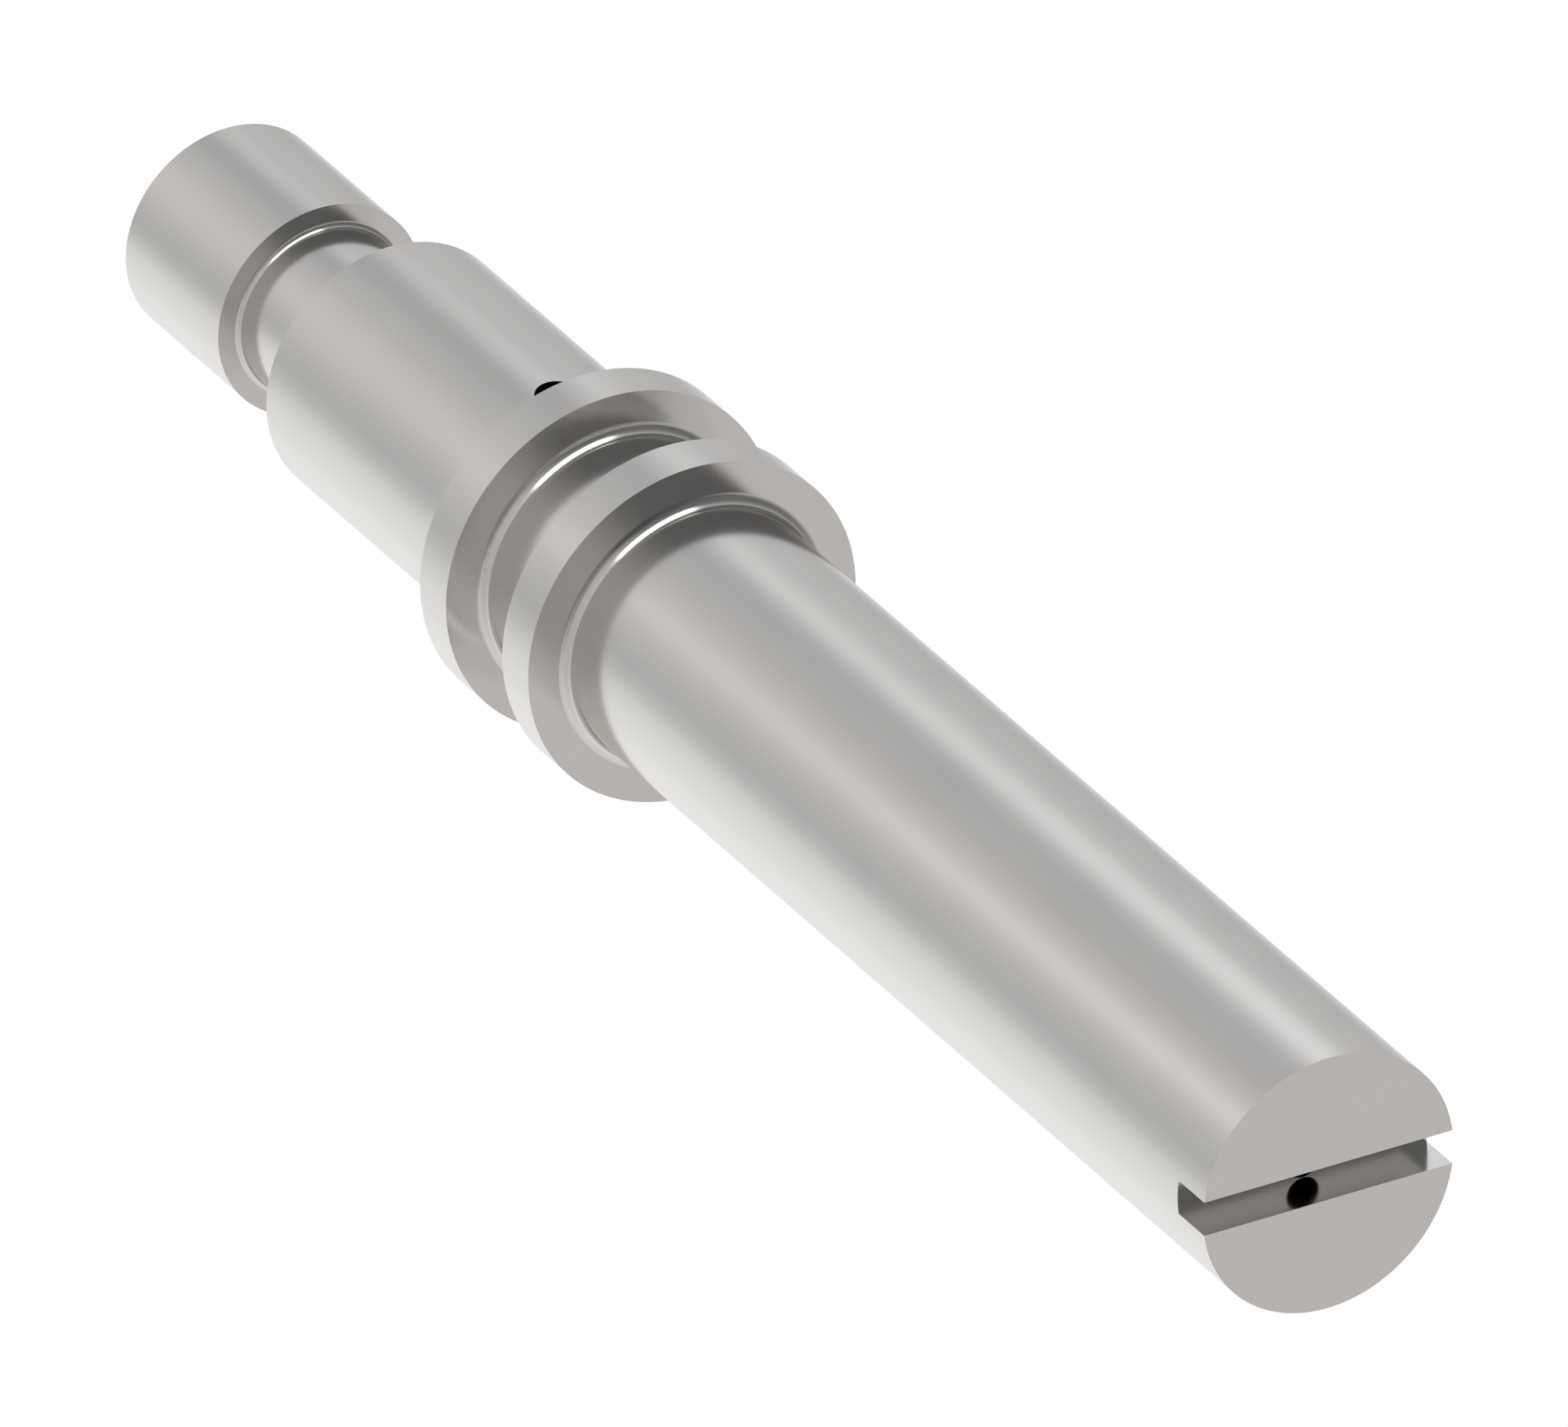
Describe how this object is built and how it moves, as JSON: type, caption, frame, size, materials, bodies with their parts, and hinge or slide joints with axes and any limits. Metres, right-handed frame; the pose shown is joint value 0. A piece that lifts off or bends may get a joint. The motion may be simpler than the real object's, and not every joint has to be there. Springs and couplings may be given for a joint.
{
  "type": "actuator pin",
  "caption": "Turned steel actuator pin: plain shank with a slotted tip, a seal groove between flanges, a necked head, and a vent passage from the slot to a cross hole.",
  "frame": {"origin": "centre of the head's flat end face, on which the pin stands", "axes": "+Z along the axis towards the slotted tip, X along the driver slot; the cross hole in the body opens towards -Y"},
  "size_m": [0.008, 0.008, 0.0465],
  "materials": {
    "steel": "fine turned and polished stainless steel, satin, with crisp edges"
  },
  "bodies": {
    "root": {"actuator_pin": "steel"}
  },
  "joints": []
}
